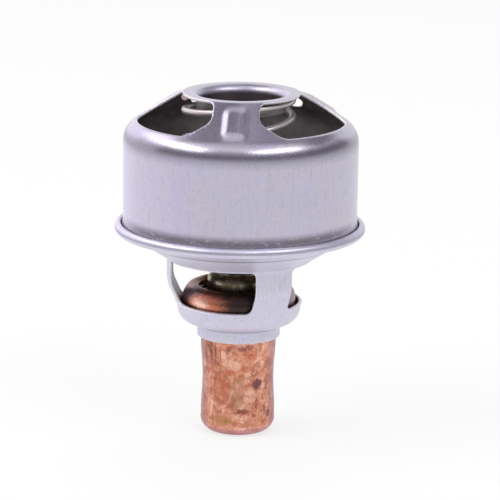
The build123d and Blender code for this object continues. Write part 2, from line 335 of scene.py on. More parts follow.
def arm_frame(x, y, azimuth):
    """Distance out along an arm and off to its side, for the nearest of three arms."""
    best_out, best_off = np.full(x.shape, -1e3), np.full(x.shape, 1e3)
    for turn in range(3):
        a = math.radians(azimuth + 120 * turn)
        out = x * math.sin(a) - y * math.cos(a)
        off = x * math.cos(a) + y * math.sin(a)
        nearer = out > best_out
        best_out, best_off = np.where(nearer, out, best_out), np.where(nearer, off, best_off)
    return best_out, best_off


print("round corner of two zero distances:", round_corner(np.zeros(1), np.zeros(1), 1.0))

# %% [markdown]
# ## The outlet cage
# The cage is one deep-drawn stainless cup. Its wall runs up into a wide shoulder, the roof is a
# cone, and the outlet is a ring whose lip is rolled down into a short collar. Wall, cone and ring
# could be three objects, but the light runs over their bends without a break, so one line makes
# them all.

# %% Outline of the cage
cage_sheet = 0.5
wall_radius = 20.1
ring_radius = 10.05
collar_bore = 7.15
roof_angle = math.radians(31.5)
roof_corner = cage_height - (wall_radius - ring_radius) * math.tan(roof_angle)
collar_end = cage_height - 3.0
cage_line = bent_line([  # radius, height, bend
    (20.625, 1.1, 0),                   # foot, caught in the rolled rim
    (20.32, 1.1, 0.25),                 # heel of the foot
    (wall_radius, 2.4, 6.0),            # start of the straight wall
    (wall_radius, roof_corner, 3.8),    # shoulder
    (ring_radius, cage_height, 0.7),    # outer edge of the ring
    (collar_bore, cage_height, 1.4),    # the lip rolls down
    (collar_bore, collar_end, 0),       # end of the collar
])
print(f"{len(cage_line)} points from the foot to the collar")

# %% [markdown]
# Three windows in the roof let the coolant out and leave three arms that spread at their feet. A
# window is a distance too: outside an arm, inside the shoulder's edge and outside the ring. Each
# arm has a flat-topped rib pressed along it to stiffen it. It could be a normal map, but the ribs
# show in the outline of the roof, so the rib is a height that lifts the sheet.

# %% Windows and ribs, and the cage
roof_arms = -4.0  # azimuth of the front arm
roof_arm_half = 3.95
arm_foot, foot_slope = 13.8, math.radians(26)  # where an arm starts to spread, and how much
window_edge = 17.85
foot_corner, arm_corner = 1.0, 1.2
rib_half, rib_top_half, rib_height = 2.45, 0.8, 0.5
rib_start, rib_end, upper_slope, lower_slope = 10.3, 18.3, 2.8, 1.7
rib_floor = 10  # no rib reaches below this height


def roof_window(x, y, z):
    """Distance outside the roof windows, below zero inside one."""
    out, off = arm_frame(x, y, roof_arms)
    arm = roof_arm_half - np.abs(off)
    foot = (out - arm_foot) * math.cos(foot_slope) + arm * math.sin(foot_slope)
    reach = np.hypot(x, y)
    low = round_corner(round_corner(reach - window_edge, foot, foot_corner), arm, arm_corner)
    high = round_corner(ring_radius - reach, arm, arm_corner)
    return np.maximum(low, high)


def smooth(t):
    """Ease from 0 to 1."""
    t = np.clip(t, 0, 1)
    return t * t * (3 - 2 * t)


def rib_relief(x, y, z):
    """Height of the pressed ribs above the roof."""
    out, off = arm_frame(x, y, roof_arms)
    side = smooth((rib_half - np.abs(off)) / (rib_half - rib_top_half))
    end = smooth((out - rib_start) / upper_slope) * smooth((rib_end - out) / lower_slope)
    return rib_height * side * end * (z > rib_floor)


cage = sheet("cage_shell", cage_line, cage_sheet, 1, 300, roof_window, rib_relief)
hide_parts("outlet_cage")
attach(cage, "housing")

# %% [markdown]
# ## The lower frame
# The frame is the second stamping. Its edge is rolled up over the cage's foot, which holds the
# two together. Inside the roll it dishes down to the valve's conical seat, turns into three arms
# and ends in a cup that carries the wax element, with a short collar round the bulb. The helpers
# of the cage do it again: a table of corners, and a rule for the three windows.

# %% Outline and windows of the frame
frame_sheet = 0.6
frame_line = bent_line([  # radius, height, bend
    (20.5, 1.75, 0),          # lip of the roll, over the cage's foot
    (21.5, 1.75, 0.8),        # top of the roll
    (21.5, 0, 0.8),           # underside of the roll
    (20.295, 0, 0.7),         # the dish begins
    (17.0, -1.45, 0.7),       # knee of the dish, and start of the seat
    (12.5, -4.35, 0.9),       # the arms go down
    (12.5, -8.6, 5.0),        # the arms close in
    (10.75, -12.6, 0.7),      # mouth of the cup
    (10.2, -15.75, 2.5),      # floor of the cup
    (7.15, -15.75, 0.35),     # start of the collar
    (7.15, -18.25, 0),        # end of the collar
])
frame_arms = 30.0
frame_arm_half = 3.5
window_top, window_floor, window_corner = -4.5, -12.2, 1.0


def frame_window(x, y, z):
    """Distance outside the frame's windows, below zero inside one."""
    out, off = arm_frame(x, y, frame_arms)
    arm = frame_arm_half - np.abs(off)
    return np.maximum(round_corner(z - window_top, arm, window_corner),
                      round_corner(window_floor - z, arm, window_corner))


lower = sheet("frame_shell", frame_line, frame_sheet, -1, 280, frame_window)
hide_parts("lower_frame")
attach(lower, "housing")

# %% [markdown]
# ## The copper cup
# The wax sits in a drawn copper cup. Its mouth is crimped over the brass guide, and the bulb
# below is slightly waisted, because it was squeezed to seal the rubber boot inside. Soft copper
# is never quite round. A noisy displacement could show that, but it would also swell the cup past
# its true size, so a shallow relief of long waves only ever sinks into the skin.

# %% Outline of the copper cup
copper_wall = 0.75
crest, shoulder, tip = -9.03, -15.13, -35.25
copper_line = bent_line([  # radius, height, bend
    (6.8, crest - 0.7, 0),        # inner lip of the crimp
    (7.3, crest, 0.8),            # crest of the ring
    (8.6, crest - 0.15, 1.6),
    (9.75, crest - 1.7, 2.5),
    (9.75, shoulder, 2.4),        # the ring sits in the frame's cup
    (6.53, shoulder, 0.8),        # neck of the bulb
    (6.53, -19.83, 35),
    (6.1, -25.72, 35),            # waist
    (6.44, tip + 4.1, 35),
    (6.44, tip, 2.4),             # round edge of the tip
    (0.01, tip, 0),
])
wave_depth = 0.02
bulb_top, bulb_foot = -18.3, tip + 2.6


def hand_made(x, y, z):
    """Long shallow waves, never above the true surface."""
    wave = np.sin(0.9 * x + 1.3) * np.sin(0.7 * z + 0.4) + np.sin(0.8 * y + 0.5 * z)
    return -wave_depth * (wave + 2) * (z < bulb_top) * (z > bulb_foot)


cup = sheet("copper_shell", copper_line, copper_wall, -1, 200, relief=hand_made)
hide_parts("wax_cup")
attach(cup, "housing")

# %% [markdown]
# ## The return spring
# A spring is one wire, so we work out where the middle of the wire is for every few degrees.
# This spring stands a little crooked: its first turn lies flat under the roof, the next ones lean
# to the left, and only the last turn is level again. The fall of the wire is therefore a short
# table of turns and millimetres, smoothed because wire has no corners.

# %% Middle of the wire
wire = 1.2
spring_radius = 9.2
spring_start = -95.0
spring_gap = 0.02
spring_lean = -0.5
spring_top = cage_height - cage_sheet - wire / 2 - spring_gap
spring_foot = (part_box("return_spring")[0].z / MM - rim_lift) + wire / 2
total_fall = spring_top - spring_foot
turns_total = 5.1
falls = [(0, 0), (0.66, 0.1), (0.99, 2.2), (1.51, 2.8), (1.99, 6.9), (4.0, total_fall - 1.38),
         (turns_total, total_fall)]
per_turn = 60
smoothing = 7

count = round(turns_total * per_turn)
turn_at = np.linspace(0, turns_total, count + 1)
fall = np.interp(turn_at, *zip(*falls))
padded = np.concatenate([2 * fall[0] - fall[smoothing:0:-1], fall,
                         2 * fall[-1] - fall[-2:-smoothing - 2:-1]])
fall = np.convolve(padded, np.ones(2 * smoothing + 1) / (2 * smoothing + 1), "valid")
lean = spring_lean * (1 - fall / total_fall)
angle = np.radians(spring_start - 360 * turn_at)
middle = np.stack([spring_radius * np.sin(angle) + lean, -spring_radius * np.cos(angle),
                   spring_top - fall], 1)
print(f"{turns_total} turns, {total_fall:.1f} mm from end to end")

# %% [markdown]
# A circle is swept along those points, and a flat face closes each end, as the cutter left it.
# When the valve lifts, its disc pushes the spring's foot up. Here the spring's length and the valve's
# stroke are worked out and printed, and the spring gets a mesh of its own.

# %% Sweep the wire
around_wire = 20
sharp_edge = math.radians(50)

tangent = np.gradient(middle, axis=0)
tangent /= np.linalg.norm(tangent, axis=1)[:, None]
outward = np.stack([np.sin(angle), -np.cos(angle), 0 * angle], 1)
across_wire = np.cross(tangent, outward)
turn_wire = np.arange(around_wire) * 2 * np.pi / around_wire
points = [middle[k] + wire / 2 * (np.cos(t) * outward[k] + np.sin(t) * across_wire[k])
          for k in range(count + 1) for t in turn_wire]
faces = []
for p in range(0, count * around_wire, around_wire):
    for m in range(around_wire):
        n = (m + 1) % around_wire
        faces.append([p + m, p + n, p + around_wire + n, p + around_wire + m])
slots = [0] * len(faces) + [1, 1]
faces += [[end * around_wire + m for m in range(around_wire)] for end in (0, count)]
spring = mesh_piece("spring_wire", np.array(points), faces, slots)
spring.data.set_sharp_from_angle(angle=sharp_edge)
stroke = frame["joints"][0]["range_m"][1]
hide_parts("return_spring")
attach(spring, "housing")
spring_length = (spring_top - spring_foot + wire) * MM
(spring_top + wire / 2 + rim_lift) * MM
1 - stroke / spring_length
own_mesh(spring)
print(f"the spring is {spring_length / MM:.1f} mm long, and the stroke {stroke / MM:.0f} mm")

# %% [markdown]
# ## A small language for finishes
# A finish is a web of nodes, and a web is hard to read as code. So a socket is wrapped in a small
# class, and + - * on it add the Math nodes. A finish can then be written as a sum of masks. One
# method adds every other kind of node: its settings go in first, then its sockets.

# %% Webs of nodes, and sockets that can be added and multiplied
class Web:
    """The nodes of a material or a world."""

    def __init__(self, owner):
        owner.use_nodes = True
        self.tree = owner.node_tree
        self.tree.nodes.clear()

    def node(self, kind, settings=None, sockets=None, output=0):
        """Adds a shader node: its settings, then the values or links of its sockets."""
        node = self.tree.nodes.new("ShaderNode" + kind)
        for key, value in (settings or {}).items():
            setattr(node, key, value)
        for key, value in (sockets or {}).items():
            if isinstance(value, Field):
                self.tree.links.new(value.socket, node.inputs[key])
            else:
                node.inputs[key].default_value = value
        return Field(self, node.outputs[output]) if len(node.outputs) else None


class Field:
    """A socket of a web, with arithmetic."""

    def __init__(self, web, socket):
        self.web, self.socket = web, socket

    def math(self, operation, first, second):
        """A Math node of this web."""
        return self.web.node("Math", {"operation": operation}, {0: first, 1: second})

    def __add__(self, other):
        return self.math("ADD", self, other)

    def __sub__(self, other):
        return self.math("SUBTRACT", self, other)

    def __rsub__(self, other):
        return self.math("SUBTRACT", other, self)

    def __mul__(self, other):
        return self.math("MULTIPLY", self, other)

    __radd__, __rmul__ = __add__, __mul__

    def __neg__(self):
        return self * -1

    def __abs__(self):
        return self.math("ABSOLUTE", self, 0.0)

    def most(self, other):
        """The larger of two fields."""
        return self.math("MAXIMUM", self, other)

    def between(self, low, high):
        """Eases from 0 where the field is low to 1 where it is high."""
        return self.web.node("MapRange", {"interpolation_type": "SMOOTHSTEP"},
                             {"Value": self, "From Min": low, "From Max": high})


def photographed(r, g, b):
    """A colour as the photograph has it, 0 to 255, turned into light."""
    return tuple((c / 255) ** 2.2 for c in (r, g, b)) + (1.0,)


print("half grey, turned into light:", round(photographed(128, 128, 128)[0], 3))

# %% [markdown]
# Every finish here is made of a few things: where a point lies in millimetres, patchy noise of a
# known size, colours laid over each other by masks, and a shallow bump. They are the methods of
# one class, so that each finish below reads as a recipe.

# %% A finish under construction
class Finish(Web):
    """A material, and the steps that its recipe is made of."""

    def __init__(self, name):
        self.material = bpy.data.materials.new(name)
        super().__init__(self.material)
        self.here = self.stretched(1, 1, 1)
        split = [self.node("SeparateXYZ", None, {0: self.here}, k) for k in range(3)]
        self.x, self.y, self.height = split
        self.radius = self.length(self.vector("MULTIPLY", self.here, (1, 1, 0)))

    def stretched(self, x, y, z):
        """Place in millimetres, each axis multiplied."""
        spot = self.node("TexCoord", None, None, "Object")
        return self.vector("MULTIPLY", spot, (x / MM, y / MM, z / MM))

    def vector(self, operation, first, second):
        """A vector from two."""
        return self.node("VectorMath", {"operation": operation}, {0: first, 1: second})

    def length(self, vector):
        """The length of a vector."""
        return self.node("VectorMath", {"operation": "LENGTH"}, {0: vector}, 1)

    def noise(self, size, detail=2.0, stretch=(1, 1, 1), seed=0.0):
        """Patches of about a size in millimetres, from 0 to 1."""
        x, y, z = (share / size for share in stretch)
        place = self.vector("ADD", self.stretched(x, y, z), (seed, 2 * seed, 3 * seed))
        return self.node("TexNoise", None,
                         {"Vector": place, "Scale": 1.0, "Detail": detail, "Roughness": 0.6})

    def mix(self, first, second, share):
        """A colour between two."""
        return self.node("Mix", {"data_type": "RGBA"}, {0: share, 6: first, 7: second}, 2)

    def layers(self, tint, *layers):
        """A colour with others laid over it in turn, each by its own share."""
        for colour, share in layers:
            tint = self.mix(tint, colour, share)
        return tint

    def bump(self, relief, depth):
        """Normals of a relief, its depth in millimetres."""
        return self.node("Bump", None, {"Height": relief, "Distance": depth * MM})

    def done(self, **sockets):
        """Closes the recipe with the shader."""
        named = {key.replace("_", " "): value for key, value in sockets.items()}
        shader = self.node("BsdfPrincipled", None, named)
        self.node("OutputMaterial", None, {"Surface": shader})
        print("finish:", self.material.name)
        return self.material


print("steps of a recipe:", ", ".join(step for step in vars(Finish) if step[0] != "_"))

# %% [markdown]
# ## Satin stainless steel
# Bare stainless sheet is a blurred mirror with a faint tint. The mirror part comes from Metallic
# at 1; how sharp it is comes from the roughness, which the grain disturbs. An anisotropic shader
# would also blur it, but the fine grain that deep drawing leaves is what the eye looks for. So
# the recipe has the grain, faint lines up the wall, and broad patches that are a little warmer or
# cooler. What only one piece has comes in as that piece's own marks.

# %% Recipe of the steel
def steel(name, cool, warm, rough, grain_depth, line_depth, metal=1.0, marks=None):
    """Satin sheet: two tints, a roughness, the depths of its grain and draw lines, its marks."""
    f = Finish(name)
    cool, warm = photographed(*cool), photographed(*warm)
    grey, dark = ([level * share for share in cool[:3]] + [1.0] for level in (0.8, 0.45))
    grain = f.noise(0.3, 3)
    lines = f.noise(0.45, 2, (1, 1, 0.03), seed=9)
    patches = f.noise(6, 4, seed=3)
    clouds = f.noise(2.2, 5, seed=14).between(0.55, 0.7)
    mottle = f.noise(0.5, 3, (1, 1, 0.5), seed=33).between(0.5, 0.7)
    specks = f.noise(0.3, 1, seed=27).between(0.78, 0.84)
    tint = f.layers(cool, (warm, patches.between(0.4, 0.6)), (grey, clouds * 0.3),
                    (grey, lines.between(0.5, 0.7) * 0.2), (grey, mottle * 0.4),
                    (dark, specks * 0.5))
    rougher, grain_share = 0.0, 1.0
    if marks:
        tint, metal, rougher, grain_share = marks(f, tint, dark, metal)
    return f.done(Base_Color=tint, Metallic=metal,
                  Roughness=(grain - 0.5) * 0.12 + (patches - 0.5) * 0.12 + rough + rougher,
                  Normal=f.bump(grain * grain_share * grain_depth + lines * line_depth, 1.0))


cut_edge = steel("sheared_edge", (232, 229, 238), (238, 234, 234), 0.5, 0.002, 0.0, metal=0.7)

# %% [markdown]
# The cage was drawn deepest over its shoulder and its roof, and there the stretched metal has an
# orange-peel grain, with pale specks on it that are a painted highlight. Just under the shoulder a dark
# band is painted shade that stands for a dark reflection, and painted shade also darkens the wall's foot
# where it meets the rim, most at the front. The collar's inner wall is painted darker as shade. These
# could be painted in a texture, but each follows a height or a radius, so a mask of that height or
# radius puts it in its place.

# %% Steel of the cage, outside and inside
def cage_marks(f, tint, dark, metal):
    """Orange peel, painted highlight specks, and painted shade under the shoulder, at the front foot and
    in the collar, which is also rougher.
    """
    above = f.height - rim_lift
    stretched = above.between(13.5, 16.5) * f.radius.between(10.2, 11.4)
    peel = f.noise(0.22, 2, seed=5).between(0.55, 0.75) * stretched
    # Painted shade: a dark band under the shoulder that stands for a dark reflection.
    painted_dark_band = above.between(14.4, 16.7) * above.between(18.4, 17.2)
    # Painted shade along the wall's foot where it meets the rim, stronger at the front.
    foot_shade = above.between(3.9, 2.4) * (above.between(1.4, 2.3) * 0.6 + 0.4)
    foot_shade = foot_shade * f.noise(1.2, 5, (1, 1, 2.5), seed=41).between(0.1, 0.5)
    front = (-f.y).between(3, 14) * 0.6 + 0.15
    # Painted highlight: pale specks over the stretched shoulder.
    painted_glints = f.noise(0.25, 1, seed=83).between(0.74, 0.82) * stretched
    # Painted shade: the collar's inner wall is painted darker.
    bore_shade = f.radius.between(7.9, 7.5) * above.between(23.7, 22.7)
    tint = f.layers(tint, (dark, peel * 0.5), (dark, painted_dark_band * 0.62),
                    (photographed(84, 78, 84), foot_shade * front),
                    (photographed(250, 248, 255), painted_glints * 0.6),
                    (photographed(102, 92, 92), bore_shade * 0.85))
    return tint, metal, f.radius.between(8.1, 7.5) * 0.15, stretched * 0.55 + 0.15


cage_skin = steel("cage_steel_skin", (190, 186, 206), (193, 188, 201), 0.27, 0.011, 0.002,
                  marks=cage_marks)
# The inside is a darker copy of the cage's steel: painted shade.
cage_inside = steel("cage_steel_inside", (154, 148, 148), (128, 122, 122), 0.55, 0.010, 0.003,
                    metal=0.5)
for finish in (cage_skin, cut_edge, cage_inside):
    cage.data.materials.append(finish)

# %% [markdown]
# The frame is the same kind of sheet, but it was tumbled longer, so it is greyer, softer in its
# reflections and nearly free of draw lines. Three thin dark lines are painted on it: a painted dark
# reflection round the middle of the rolled edge, a painted shadow at the knee of the dish and painted
# shade where the cup turns into its collar. The dish itself, which faces down, is painted paler as
# painted light. A line is where a height or a radius has one value, so one small helper draws all three.

# %% Steel of the frame
def line_at(field, middle, width):
    """1 on a thin line where the field has a value."""
    return abs(field - middle).between(width, 0.3 * width)


def frame_marks(f, tint, dark, metal):
    """A dish painted paler as painted light, dark lines of painted reflection and shade, and less mirror
    below the rolled edge.
    """
    above = f.height - rim_lift
    # The dish is painted paler: painted light on a face that looks down.
    dish = f.radius.between(12.7, 13.3) * above.between(0.0, -0.3)
    # Painted dark reflection round the roll, painted shadow at the knee, painted shade at the collar.
    roll_reflection_line = line_at(above, 0.95, 0.3) * f.radius.between(21.1, 21.3)
    knee_shadow_line = line_at(f.radius, 17.1, 0.45) * dish
    collar_shade_line = line_at(above, -16.2, 0.3) * f.radius.between(8.6, 8.2)
    specks = f.noise(0.35, 3, (1, 1, 0.6), seed=71).between(0.55, 0.7) * above.between(-4, -5)
    tint = f.layers(tint, (photographed(208, 205, 223), dish), (dark, roll_reflection_line * 0.65),
                    (dark, knee_shadow_line * 0.9), (dark, collar_shade_line * 0.55), (dark, specks * 0.25))
    return tint, above.between(-0.2, 0.0) * 0.4 + metal, 0.0, 1.0


frame_skin = steel("frame_steel_skin", (208, 205, 225), (212, 209, 223), 0.44, 0.006, 0.002,
                   metal=0.45, marks=frame_marks)
# The inside is a darker copy of the frame's steel: painted shade.
frame_inside = steel("frame_steel_inside", (168, 164, 174), (150, 146, 150), 0.45, 0.006, 0.002,
                     metal=0.85)
for finish in (frame_skin, cut_edge, frame_inside):
    lower.data.materials.append(finish)

# %% [markdown]
# ## Tarnished copper
# Bare copper keeps a record of everything that touched it. The bulb is salmon with brown-red
# blotches, dark streaks where it was drawn, olive patches low down on the left and a handful of
# round stains. Noise alone would put them anywhere, so each mark has a row in a table: its
# azimuth and its height above the tip, and its half width and half height in millimetres.

# %% Marks on the copper
salmon, pale = photographed(216, 148, 124), photographed(250, 200, 178)
rust, orange = photographed(160, 88, 68), photographed(190, 104, 72)
plum, brown = photographed(112, 66, 76), photographed(122, 66, 54)
khaki, olive = photographed(172, 136, 104), photographed(166, 122, 72)
# A large dark patch over the front of the mouth.
front_dark, ash = photographed(66, 56, 54), photographed(176, 158, 166)
# A painted highlight for the mouth's left: orange, with a pale core.
painted_highlight, painted_highlight_core = photographed(214, 132, 104), photographed(255, 210, 188)
bulb_marks = [  # colour, azimuth, height, half width, half height, strength
    (khaki, 0, 8.0, 1.1, 3.0, 0.4), (orange, -27, 8.9, 1.3, 2.6, 0.45),
    (brown, -48, 14.6, 1.6, 2.3, 0.35), (orange, 19, 14.9, 1.3, 1.2, 0.45),
    (orange, -11, 11.8, 0.9, 0.7, 0.6), (orange, 11, 12.3, 0.7, 0.6, 0.5),
    (olive, -25, 3.1, 2.2, 0.9, 0.55), (pale, -6, 12.9, 1.2, 0.9, 0.45),
    (pale, 20, 7.4, 1.1, 1.2, 0.45), (pale, -24, 14.7, 0.6, 0.9, 0.6),
    (pale, -45, 5.2, 0.35, 1.5, 0.6), (pale, -53, 5.7, 0.25, 1.2, 0.5),
    (pale, -66, 12.3, 0.25, 0.8, 0.7), (plum, 33, 9.5, 1.0, 0.85, 0.9),
    (plum, 6, 15.9, 0.75, 0.5, 0.65), (plum, 18, 16.2, 0.65, 0.5, 0.6),
    (plum, 56, 3.8, 0.6, 0.7, 0.7), (brown, -14, 15.9, 0.5, 0.6, 0.65),
    (brown, 8, 4.8, 1.1, 0.5, 0.8), (brown, -3, 4.4, 0.6, 0.4, 0.5),
    (brown, 26, 3.9, 0.42, 0.42, 0.65), (brown, -47, 15.8, 0.5, 1.1, 0.75),
    (brown, -36, 15.3, 0.32, 0.9, 0.6), (brown, -33, 13.0, 0.32, 0.35, 0.6),
    (brown, 31, 5.4, 0.3, 0.3, 0.6), (brown, -1, 9.4, 0.17, 0.17, 0.7),
    (brown, 44, 7.0, 0.25, 0.6, 0.6), (brown, 52, 9.3, 0.2, 1.8, 0.6),
    (olive, -44, 3.1, 0.6, 0.5, 0.6), (olive, -16, 3.1, 0.6, 0.5, 0.6),
    (plum, 47, 5.1, 0.25, 1.5, 0.4), (brown, 120, 7.1, 1.4, 1.1, 0.6),
    (plum, 165, 11.6, 0.8, 0.7, 0.8), (orange, -110, 6.6, 1.6, 2.4, 0.5),
    (khaki, 95, 12.1, 1.1, 2.2, 0.5), (olive, 150, 3.2, 1.9, 0.9, 0.5),
    (brown, -150, 10.1, 0.6, 0.7, 0.7),
]
mouth_marks_and_highlight = [
    (front_dark, 14, 22.5, 11.0, 7.0, 1.0), (ash, -64, 25.4, 3.4, 1.6, 0.75),
    (painted_highlight, -38, 23.9, 4.6, 2.4, 0.9), (painted_highlight_core, -43, 24.0, 2.1, 1.1, 1.0),
    (ash, 75, 23.5, 3.0, 3.0, 0.6),
]
drop_rings = [
    (rust, -27, 8.9, 1.7, 3.0, 0.65), (rust, 27, 11.4, 0.6, 0.6, 0.9),
    (rust, 20, 14.5, 0.5, 0.45, 0.8), (rust, 14, 6.0, 2.6, 1.7, 0.45),
    (rust, -140, 7.1, 2.0, 2.6, 0.6), (rust, 100, 5.1, 0.9, 0.9, 0.6),
]
print(len(bulb_marks), "marks on the bulb,", len(mouth_marks_and_highlight), "on the mouth and",
      len(drop_rings), "drop rings")

# %% [markdown]
# A mark is a distance from its middle, measured in its own width and height. Noise is added to
# the place first, so that the mark's edge is ragged. A hollow mark is only a border, like the
# ring that a dried drop leaves.

# %% A finish that carries marks
border_edge = 1.2
bulb_face, mouth_face = 6.3, 9.6
ragged_depth = 1.1


class Copper(Finish):
    """A finish that can carry tables of ragged marks."""

    def __init__(self, name):
        super().__init__(name)
        stir = self.node("TexNoise", None, {"Vector": self.stretched(1, 1, 1),
                         "Scale": 1.3, "Detail": 4.0, "Roughness": 0.6}, 1)
        stir = self.vector("SUBTRACT", stir, (0.5,) * 3)
        self.ragged = self.vector("ADD", self.here,
                                  self.vector("MULTIPLY", stir, (ragged_depth,) * 3))
        self.crumbs = self.noise(0.45, 5, seed=51)
        self.border = self.crumbs * 0.7 - 0.35

    def distance(self, azimuth, height, width, tall, radius=bulb_face):
        """Distance from a mark's middle, 1 at its ragged border."""
        middle = towards(azimuth) * radius + Vector((0, 0, height))
        away = self.vector("SUBTRACT", self.ragged, tuple(middle))
        return self.length(self.vector("MULTIPLY", away, (1 / width, 1 / width, 1 / tall))) + self.border

    def spots(self, tint, marks, radius, core):
        """A colour with a table of marks on it, each full from its border in to its core."""
        for colour, azimuth, height, width, tall, strength in marks:
            away = self.distance(azimuth, height, width, tall, radius)
            tint = self.mix(tint, colour, away.between(border_edge, core) * strength)
        return tint

    def rings(self, tint, marks):
        """A colour with a table of hollow marks on it, each border broken here and there."""
        for colour, azimuth, height, width, tall, strength in marks:
            away = self.distance(azimuth, height, width, tall)
            broken = self.crumbs.between(0.35, 0.5) * 0.6 + 0.4
            border = away.between(border_edge, 0.9) * away.between(0.55, 0.9)
            tint = self.mix(tint, colour, border * strength * broken)
        return tint


copper = Copper("copper_skin")
print("the marks lie", bulb_face, "mm from the axis on the bulb and", mouth_face, "on the mouth")

# %% [markdown]
# The recipe follows the order in which the bulb got its colours. First come broad patches of noise, with
# a lilac grey painted towards the sides as a painted dark reflection, then the marks, and on top the
# streaks and scratches of drawing, which run up and down. Near the tip come a pink band, pale specks
# round the rim of the tip that are a painted highlight, and a tip that turns darker towards the bottom.
# The crimped mouth is browner, so it has a tint of its own with a painted highlight on its left, and a
# mask of the height joins the two.

# %% Copper
def tarnished(f):
    """Colour of the bulb's skin, with a painted dark reflection on its flanks and a painted highlight
    near the tip, and its draw lines.
    """
    # Painted dark reflection: lilac grey on the left and right flanks.
    side = abs(f.x).between(4.6, 6.4) * (f.noise(1.5, 5, seed=91).between(0.3, 0.6) * 0.5 + 0.5)
    tint = f.layers(salmon, (pale, f.noise(2.0, 6).between(0.5, 0.62) * 0.6),
                    (rust, f.noise(1.6, 8, seed=4).between(0.5, 0.62) * 0.6),
                    (olive, f.noise(1.3, 7, seed=11).between(0.53, 0.63) * 0.45),
                    (rust, f.crumbs.between(0.5, 0.68) * 0.45),
                    (pale, f.noise(0.35, 4, seed=61).between(0.55, 0.7) * 0.4),
                    (photographed(142, 106, 122), side * 0.7))
    tint = f.rings(f.spots(tint, bulb_marks, bulb_face, 0.75), drop_rings)
    drawn = f.noise(0.4, 3, (1, 1, 0.06), seed=7).between(0.5, 0.66)
    upper_left = f.height.between(11.6, 15.1) * (-f.x).between(0, 3)
    scratch = f.noise(0.3, 2, (1, 1, 0.05), seed=23).between(0.6, 0.72)
    specks = f.noise(0.4, 3, seed=17).between(0.62, 0.74)
    # Painted highlight: pale specks along the rim of the tip.
    painted_tip_glints = f.noise(0.35, 2, (1, 1, 1.5), seed=31).between(0.54, 0.66)
    tint = f.layers(tint, (brown, drawn * (upper_left * 0.7 + 0.1)),
                    (pale, scratch * ((-f.x).between(1, 4) * 0.5 + 0.05)), (rust, specks * 0.55),
                    (photographed(186, 120, 136), f.height.between(1.9, 0.9) * 0.65),
                    (photographed(255, 222, 206), painted_tip_glints * line_at(f.height, 1.6, 0.35) * 0.75),
                    (photographed(120, 70, 84), f.height.between(0.9, 0.2) * 0.6))
    return tint, drawn


bulb_tint, drawn = tarnished(copper)
# The mouth's tint, with a painted highlight on its left from its table of marks.
mouth_tint_and_highlight = copper.mix(photographed(158, 98, 74), photographed(92, 60, 52),
                  copper.noise(1.8, 5, seed=21).between(0.38, 0.6))
mouth_tint_and_highlight = copper.spots(mouth_tint_and_highlight, mouth_marks_and_highlight, mouth_face, 0.3)
copper_relief = copper.noise(0.5, 4, seed=2) * 0.012 + drawn * 0.006
copper_skin = copper.done(Base_Color=copper.mix(bulb_tint, mouth_tint_and_highlight, copper.height.between(19.1, 19.7)),
                          Metallic=0.9, Roughness=0.36 + (copper.noise(1.2, 4, seed=8) - 0.5) * 0.25,
                          Normal=copper.bump(copper_relief, 1.0))
copper_inside = steel("copper_inside", (150, 96, 76), (120, 80, 66), 0.45, 0.006, 0.0)
for finish in (copper_skin, copper_skin, copper_inside):
    cup.data.materials.append(finish)

# %% [markdown]
# ## Wire, brass and the pieces inside
# Drawn wire has scratches that run with it. Here a plain fine grain does as well, because the
# wire is only a millimetre thick. Brass that has been in hot coolant goes dark and olive. Turned
# brass also has rings from the tool. They could be a fine wave texture, but that is too even:
# noise that depends only on the radius and the height gives rings of uneven width.

# %% Finishes of the other pieces
spring_steel = steel("spring_steel", (214, 206, 208), (204, 196, 196), 0.4, 0.005, 0.0, metal=0.8)
wire_end = steel("spring_end", (216, 196, 190), (224, 206, 198), 0.4, 0.008, 0.0)
for finish in (spring_steel, wire_end):
    spring.data.materials.append(finish)
rings_per_mm = 6


def turned_metal(name, light, dark, rough, ring_depth):
    """Metal from a lathe: rings of the tool under patches of tarnish."""
    f = Finish(name)
    light, dark = photographed(*light), photographed(*dark)
    line = f.node("CombineXYZ", None,
                  {"X": f.radius * rings_per_mm, "Z": f.height * rings_per_mm})
    tool = f.node("TexNoise", None, {"Vector": line, "Scale": 1.0, "Detail": 2.0})
    tarnish = f.noise(1.5, 5, seed=6).between(0.38, 0.66)
    return f.done(Base_Color=f.mix(light, dark, tarnish), Metallic=1.0,
                  Roughness=rough + (tarnish - 0.5) * 0.2,
                  Normal=f.bump(tool * ring_depth + f.noise(0.3, 2) * 0.004, 1.0))


def soft_body(name, light, dark, rough, grain):
    """Moulded rubber, plastic or wax: two tints and a fine grain."""
    f = Finish(name)
    light, dark = photographed(*light), photographed(*dark)
    cloudy = f.noise(1.2, 4).between(0.35, 0.65)
    return f.done(Base_Color=f.mix(light, dark, cloudy), Metallic=0.0,
                  Roughness=rough + (cloudy - 0.5) * 0.1, Normal=f.bump(f.noise(0.2, 2), grain))


plain = {
    "piston_guide": turned_metal("guide_brass", (168, 154, 132), (112, 98, 82), 0.34, 0.012),
    "valve_hub": turned_metal("hub_brass", (176, 156, 108), (128, 108, 70), 0.34, 0.012),
    "piston": turned_metal("piston_steel", (205, 205, 208), (180, 180, 184), 0.18, 0.003),
    "valve_disc": steel("valve_steel", (150, 146, 152), (132, 127, 130), 0.36, 0.008, 0.0),
    "backup_washer": soft_body("washer_plastic", (236, 234, 228), (222, 218, 208), 0.5, 0.003),
    "rubber_boot": soft_body("boot_rubber", (44, 43, 43), (30, 30, 31), 0.6, 0.01),
    "wax_charge": soft_body("wax_with_copper", (176, 122, 84), (146, 94, 62), 0.65, 0.02),
}
for node, finish in plain.items():
    piece = frame["nodes"][node]
    piece.data.materials.clear()
    piece.data.materials.append(finish)
print(len(plain), "packed pieces have a finish of their own")

